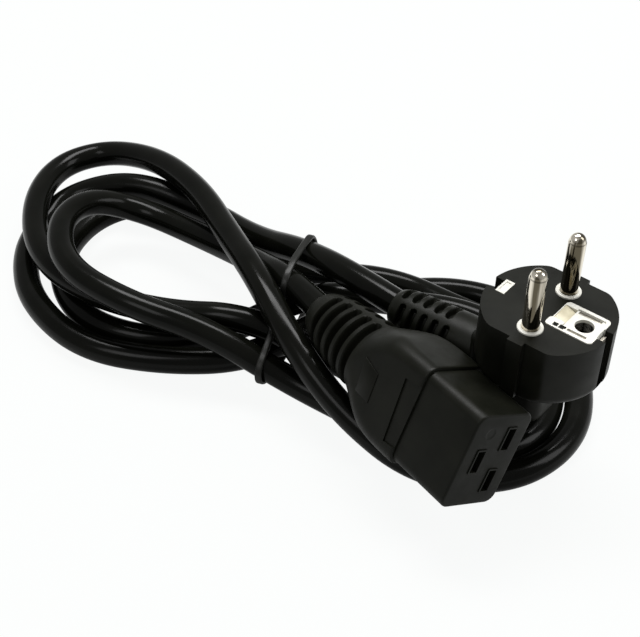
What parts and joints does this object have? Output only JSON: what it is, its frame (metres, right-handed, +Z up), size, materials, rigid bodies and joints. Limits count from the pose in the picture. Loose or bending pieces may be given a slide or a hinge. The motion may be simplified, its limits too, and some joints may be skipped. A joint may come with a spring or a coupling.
{
  "type": "coiled power cord",
  "caption": "Coiled dark grey power cord, tied at the waist, with an angled round-pin plug and a straight rectangular equipment connector.",
  "frame": {"origin": "on the floor under the middle of the whole box", "axes": "+Z up, +X to the right and +Y away from the camera of the picture; the hank's long side runs from the far left to the near right"},
  "size_m": [0.1785, 0.1688, 0.0722],
  "materials": {
    "housing": "satin moulded PVC",
    "sheath": "satin extruded sheath",
    "white_nylon": "smooth moulded nylon",
    "nickel": "polished nickel plate",
    "strip_metal": "pressed strip",
    "core_brown": "core insulation",
    "core_blue": "core insulation",
    "core_green_yellow": "core insulation",
    "copper": "bare stranded copper",
    "tie_plastic": "thin tie strip"
  },
  "bodies": {
    "root": {"connector_body": "housing", "connector_insert": "housing", "connector_line_contact": "strip_metal", "connector_neutral_contact": "strip_metal", "connector_earth_contact": "strip_metal", "connector_line_wire": "copper", "connector_neutral_wire": "copper", "connector_earth_wire": "copper", "connector_line_core": "core_brown", "connector_neutral_core": "core_blue", "connector_earth_core": "core_green_yellow", "cord": "sheath", "plug_body": "housing", "plug_bridge": "white_nylon", "plug_line_pin": "nickel", "plug_neutral_pin": "nickel", "plug_earth_socket": "nickel", "plug_earth_strap": "strip_metal", "plug_line_wire": "copper", "plug_neutral_wire": "copper", "plug_earth_wire": "copper", "plug_line_core": "core_brown", "plug_neutral_core": "core_blue", "plug_earth_core": "core_green_yellow", "twist_tie": "tie_plastic"}
  },
  "joints": []
}
